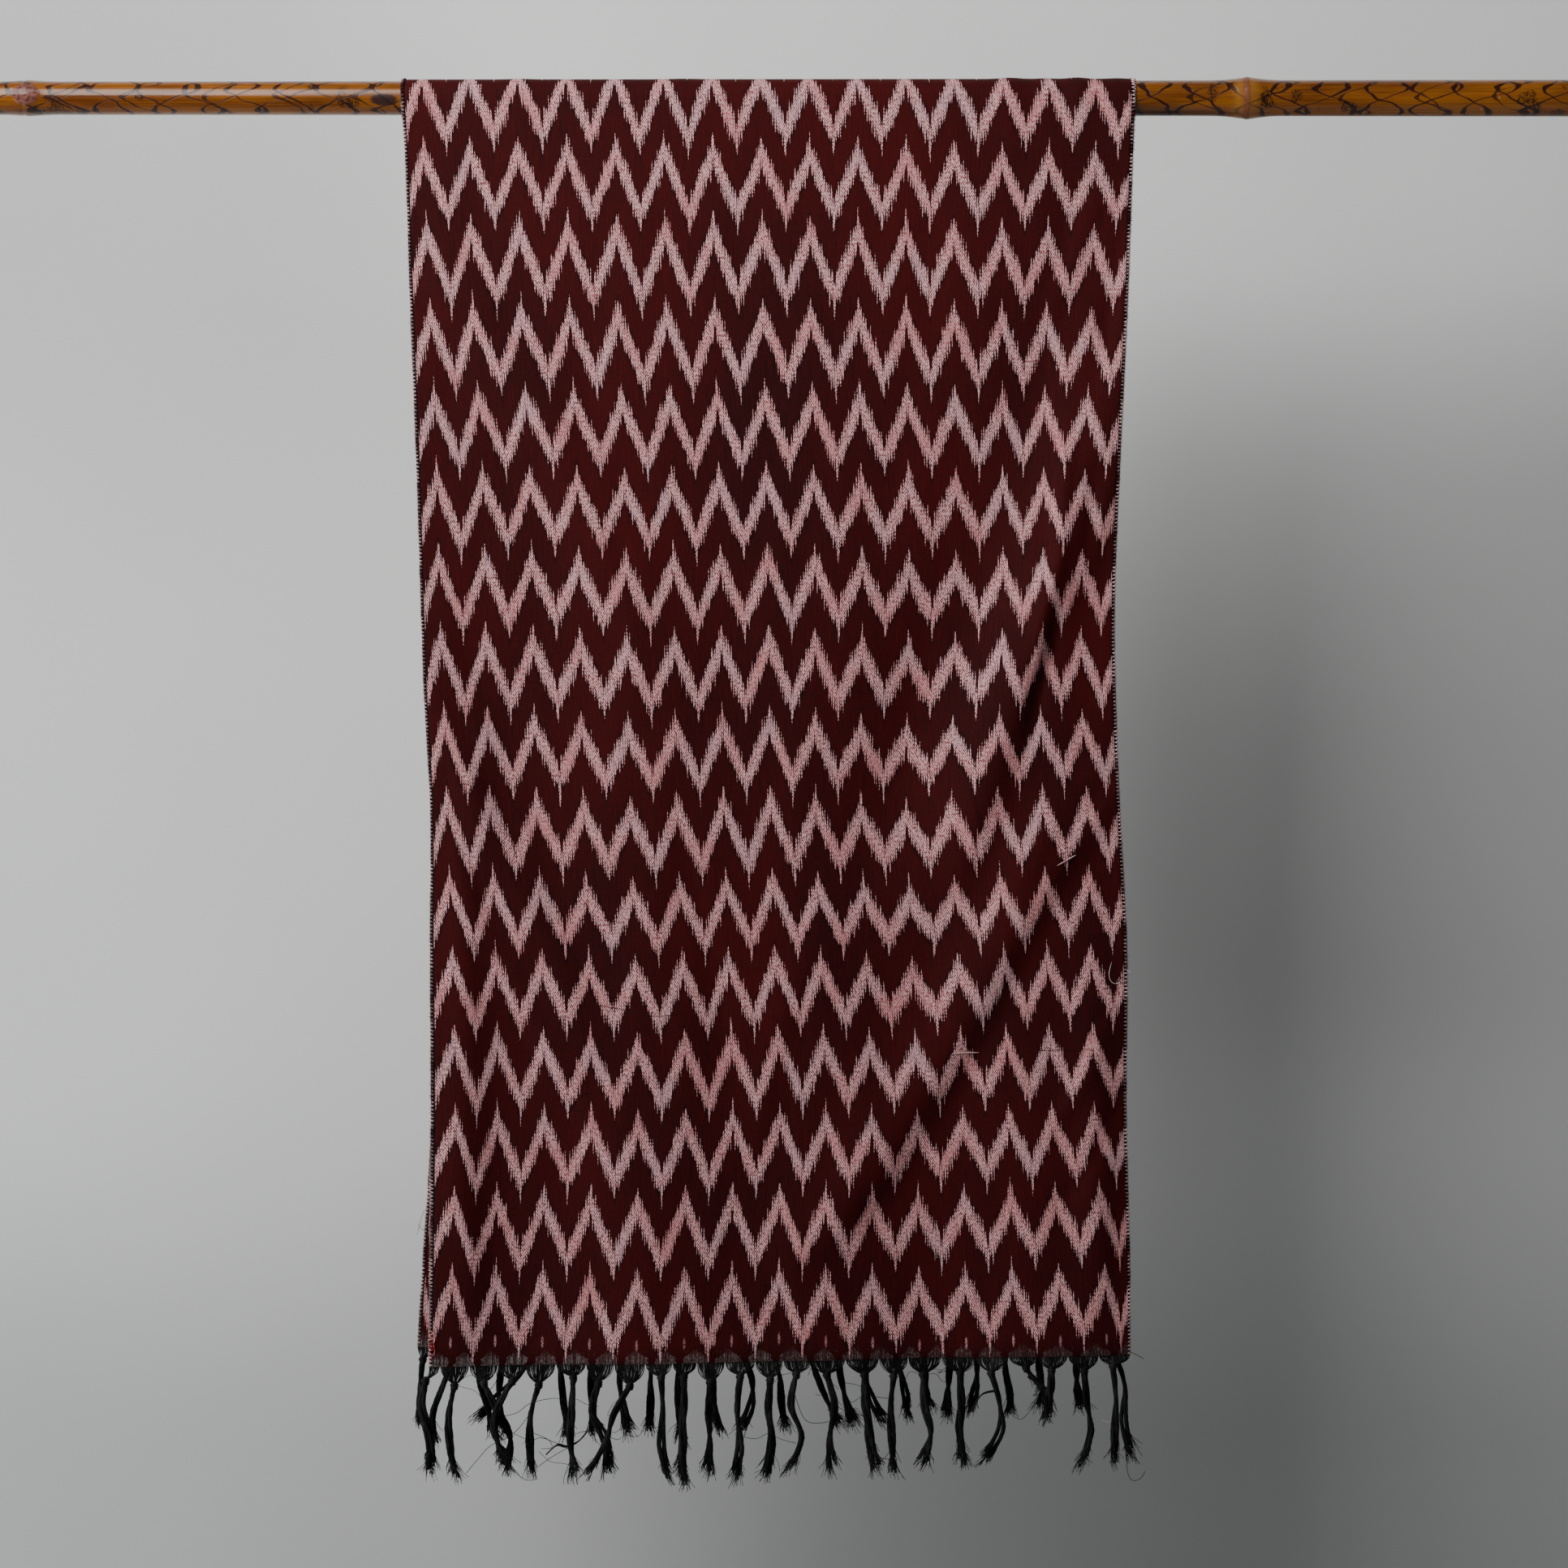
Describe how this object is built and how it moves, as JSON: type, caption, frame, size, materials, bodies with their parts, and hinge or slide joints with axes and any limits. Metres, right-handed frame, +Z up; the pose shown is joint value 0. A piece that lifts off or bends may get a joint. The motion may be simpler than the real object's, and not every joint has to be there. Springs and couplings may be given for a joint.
{
  "type": "ikat stole on a bamboo rod",
  "caption": "Handwoven cotton stole with a chevron ikat pattern and knotted tassel fringes, folded over a bamboo hanging rod.",
  "frame": {"origin": "on the bamboo rod's axis at the middle of the stole, where the rod is held", "axes": "+X along the rod to the right as seen from the front, -Y out of the stole's front, +Z up"},
  "size_m": [1.23, 0.0556, 1.0553],
  "materials": {
    "ikat_cotton": "matte handwoven cotton, maroon with a pale pink stepped chevron",
    "warp_ends": "matte near-black cotton threads, knotted and loosely twisted",
    "bamboo": "golden-brown varnished bamboo with dark looping scorch lines"
  },
  "bodies": {
    "root": {"bamboo_rod": "bamboo", "front_fall": "ikat_cotton", "over_rod": "ikat_cotton", "back_fall": "ikat_cotton", "front_fringe": "warp_ends", "back_fringe": "warp_ends"}
  },
  "joints": []
}
